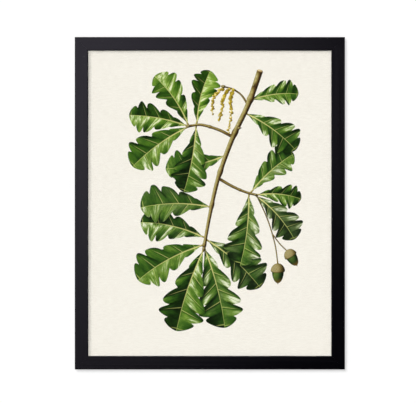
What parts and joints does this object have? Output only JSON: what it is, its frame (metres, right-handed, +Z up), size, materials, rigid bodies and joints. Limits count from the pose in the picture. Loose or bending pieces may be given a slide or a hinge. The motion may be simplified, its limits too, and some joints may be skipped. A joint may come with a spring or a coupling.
{
  "type": "framed botanical print",
  "caption": "Upright wall picture: mitred black wood frame, clear glazing, leafy botanical print on cream paper, tabbed backing board and sawtooth hanger.",
  "frame": {"origin": "top of the sawtooth hanger's centre notch, at the hanger's back face, where the wall's nail carries the frame", "axes": "+Z up, +Y back into the wall, so the picture faces -Y; +X to the right as the picture is looked at"},
  "size_m": [0.4404, 0.025, 0.542],
  "materials": {
    "frame_black": "satin black lacquer on fine-grained hardwood",
    "clear_glass": "clear, polished",
    "print_paper": "matt cream art paper with a printed leafy design",
    "hardboard": "smooth brown fibreboard",
    "tab_steel": "zinc plated, dull",
    "nail_steel": "bare bright steel",
    "plated_steel": "bright zinc plate",
    "bumper_rubber": "soft matt black rubber"
  },
  "bodies": {
    "root": {"rail_top": "frame_black", "rail_bottom": "frame_black", "rail_left": "frame_black", "rail_right": "frame_black", "glazing": "clear_glass", "print_sheet": "print_paper", "backing_board": "hardboard", "tab_top_1": "tab_steel", "tab_top_2": "tab_steel", "tab_bottom_1": "tab_steel", "tab_bottom_2": "tab_steel", "tab_left_1": "tab_steel", "tab_left_2": "tab_steel", "tab_left_3": "tab_steel", "tab_right_1": "tab_steel", "tab_right_2": "tab_steel", "tab_right_3": "tab_steel", "v_nail_top_1": "nail_steel", "v_nail_top_2": "nail_steel", "v_nail_bottom_1": "nail_steel", "v_nail_bottom_2": "nail_steel", "v_nail_left_1": "nail_steel", "v_nail_left_2": "nail_steel", "v_nail_right_1": "nail_steel", "v_nail_right_2": "nail_steel", "sawtooth_hanger": "plated_steel", "hanger_pin_1": "plated_steel", "hanger_pin_2": "plated_steel", "bumper_left": "bumper_rubber", "bumper_right": "bumper_rubber"}
  },
  "joints": []
}
